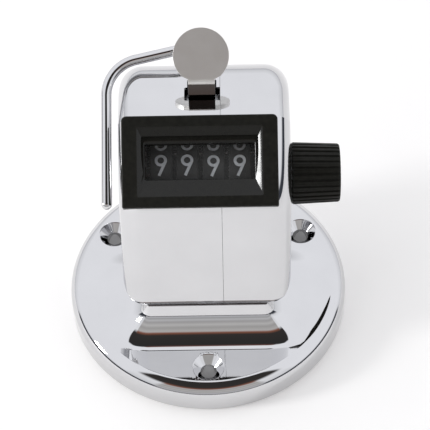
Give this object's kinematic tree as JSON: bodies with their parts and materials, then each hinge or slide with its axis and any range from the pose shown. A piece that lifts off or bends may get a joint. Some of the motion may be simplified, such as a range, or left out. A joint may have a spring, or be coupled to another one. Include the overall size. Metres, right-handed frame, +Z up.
{
  "type": "desktop tally counter",
  "caption": "Chromed hand-operated tally counter with a tilted window, thumb lever, reset knob and finger hook on a round screw-down base.",
  "frame": {"origin": "centre of the base's screw-hole circle on the surface that it stands on", "axes": "+Z up, window facing -Y and up, reset knob to +X"},
  "size_m": [0.07, 0.07, 0.074],
  "materials": {
    "chrome": "bright chrome plate",
    "black_moulding": "black plastic, fine grain",
    "knob_plastic": "black plastic with straight ribs",
    "wheel_plastic": "black plastic with white numerals",
    "clear_pane": "clear polished plastic",
    "brushed_nickel": "brushed nickel plate",
    "bright_steel": "bright steel",
    "spring_steel": "spring steel",
    "screw_steel": "zinc plate",
    "brass": "plain brass"
  },
  "bodies": {
    "stand": {"base": "chrome", "left_case": "chrome", "right_case": "chrome", "bezel": "black_moulding", "lens": "clear_pane", "finger_hook": "chrome", "hook_collar": "chrome", "hook_nut": "bright_steel", "left_plate": "brass", "right_plate": "brass", "left_bush": "brass", "right_bush": "brass", "frame_posts": "bright_steel", "mount_bar": "bright_steel", "lever_pin": "bright_steel", "lever_spring": "spring_steel", "detent_comb": "spring_steel", "detent_screws": "screw_steel", "plate_screws": "screw_steel", "case_screws": "screw_steel", "base_screws": "screw_steel"},
    "lever": {"thumb_lever": "brushed_nickel", "lever_bail": "bright_steel", "lever_rivets": "brushed_nickel", "pawl_pin": "bright_steel", "pawl_spring": "spring_steel"},
    "pawl": {"drive_pawl": "bright_steel"},
    "reset": {"reset_knob": "knob_plastic", "wheel_shaft": "bright_steel", "knob_pin": "bright_steel", "shaft_clip": "bright_steel"},
    "wheel_1": {"number_wheel_1": "wheel_plastic"},
    "wheel_2": {"number_wheel_2": "wheel_plastic"},
    "wheel_3": {"number_wheel_3": "wheel_plastic"},
    "wheel_4": {"number_wheel_4": "wheel_plastic"}
  },
  "joints": [
    {"name": "lever_press", "type": "hinge", "parent": "stand", "child": "lever", "pos_m": [0, -0.00498, 0.03714], "axis": [-1, 0, 0], "range_deg": [0, 9], "stiffness_Nm_per_rad": 0.4, "springref_deg": -14.32},
    {"name": "pawl_swing", "type": "hinge", "parent": "lever", "child": "pawl", "pos_m": [0, 0.01943, 0.05256], "axis": [1, 0, 0], "range_deg": [0, 8], "stiffness_Nm_per_rad": 0.004, "springref_deg": -17.19},
    {"name": "knob_turn", "type": "hinge", "parent": "stand", "child": "reset", "pos_m": [0, 0.00763, 0.03936], "axis": [1, 0, 0], "continuous": true},
    {"name": "wheel_1_turn", "type": "hinge", "parent": "stand", "child": "wheel_1", "pos_m": [0, 0.00763, 0.03936], "axis": [-1, 0, 0], "range_deg": [0, 36]},
    {"name": "wheel_2_turn", "type": "hinge", "parent": "stand", "child": "wheel_2", "pos_m": [0, 0.00763, 0.03936], "axis": [-1, 0, 0], "range_deg": [0, 36]},
    {"name": "wheel_3_turn", "type": "hinge", "parent": "stand", "child": "wheel_3", "pos_m": [0, 0.00763, 0.03936], "axis": [-1, 0, 0], "range_deg": [0, 36]},
    {"name": "wheel_4_turn", "type": "hinge", "parent": "stand", "child": "wheel_4", "pos_m": [0, 0.00763, 0.03936], "axis": [-1, 0, 0], "range_deg": [0, 36]}
  ],
  "couplings": [
    {"joint": "wheel_1_turn", "follows": "lever_press", "ratio": 4},
    {"joint": "wheel_2_turn", "follows": "lever_press", "ratio": 4},
    {"joint": "wheel_3_turn", "follows": "lever_press", "ratio": 4},
    {"joint": "wheel_4_turn", "follows": "lever_press", "ratio": 4}
  ]
}
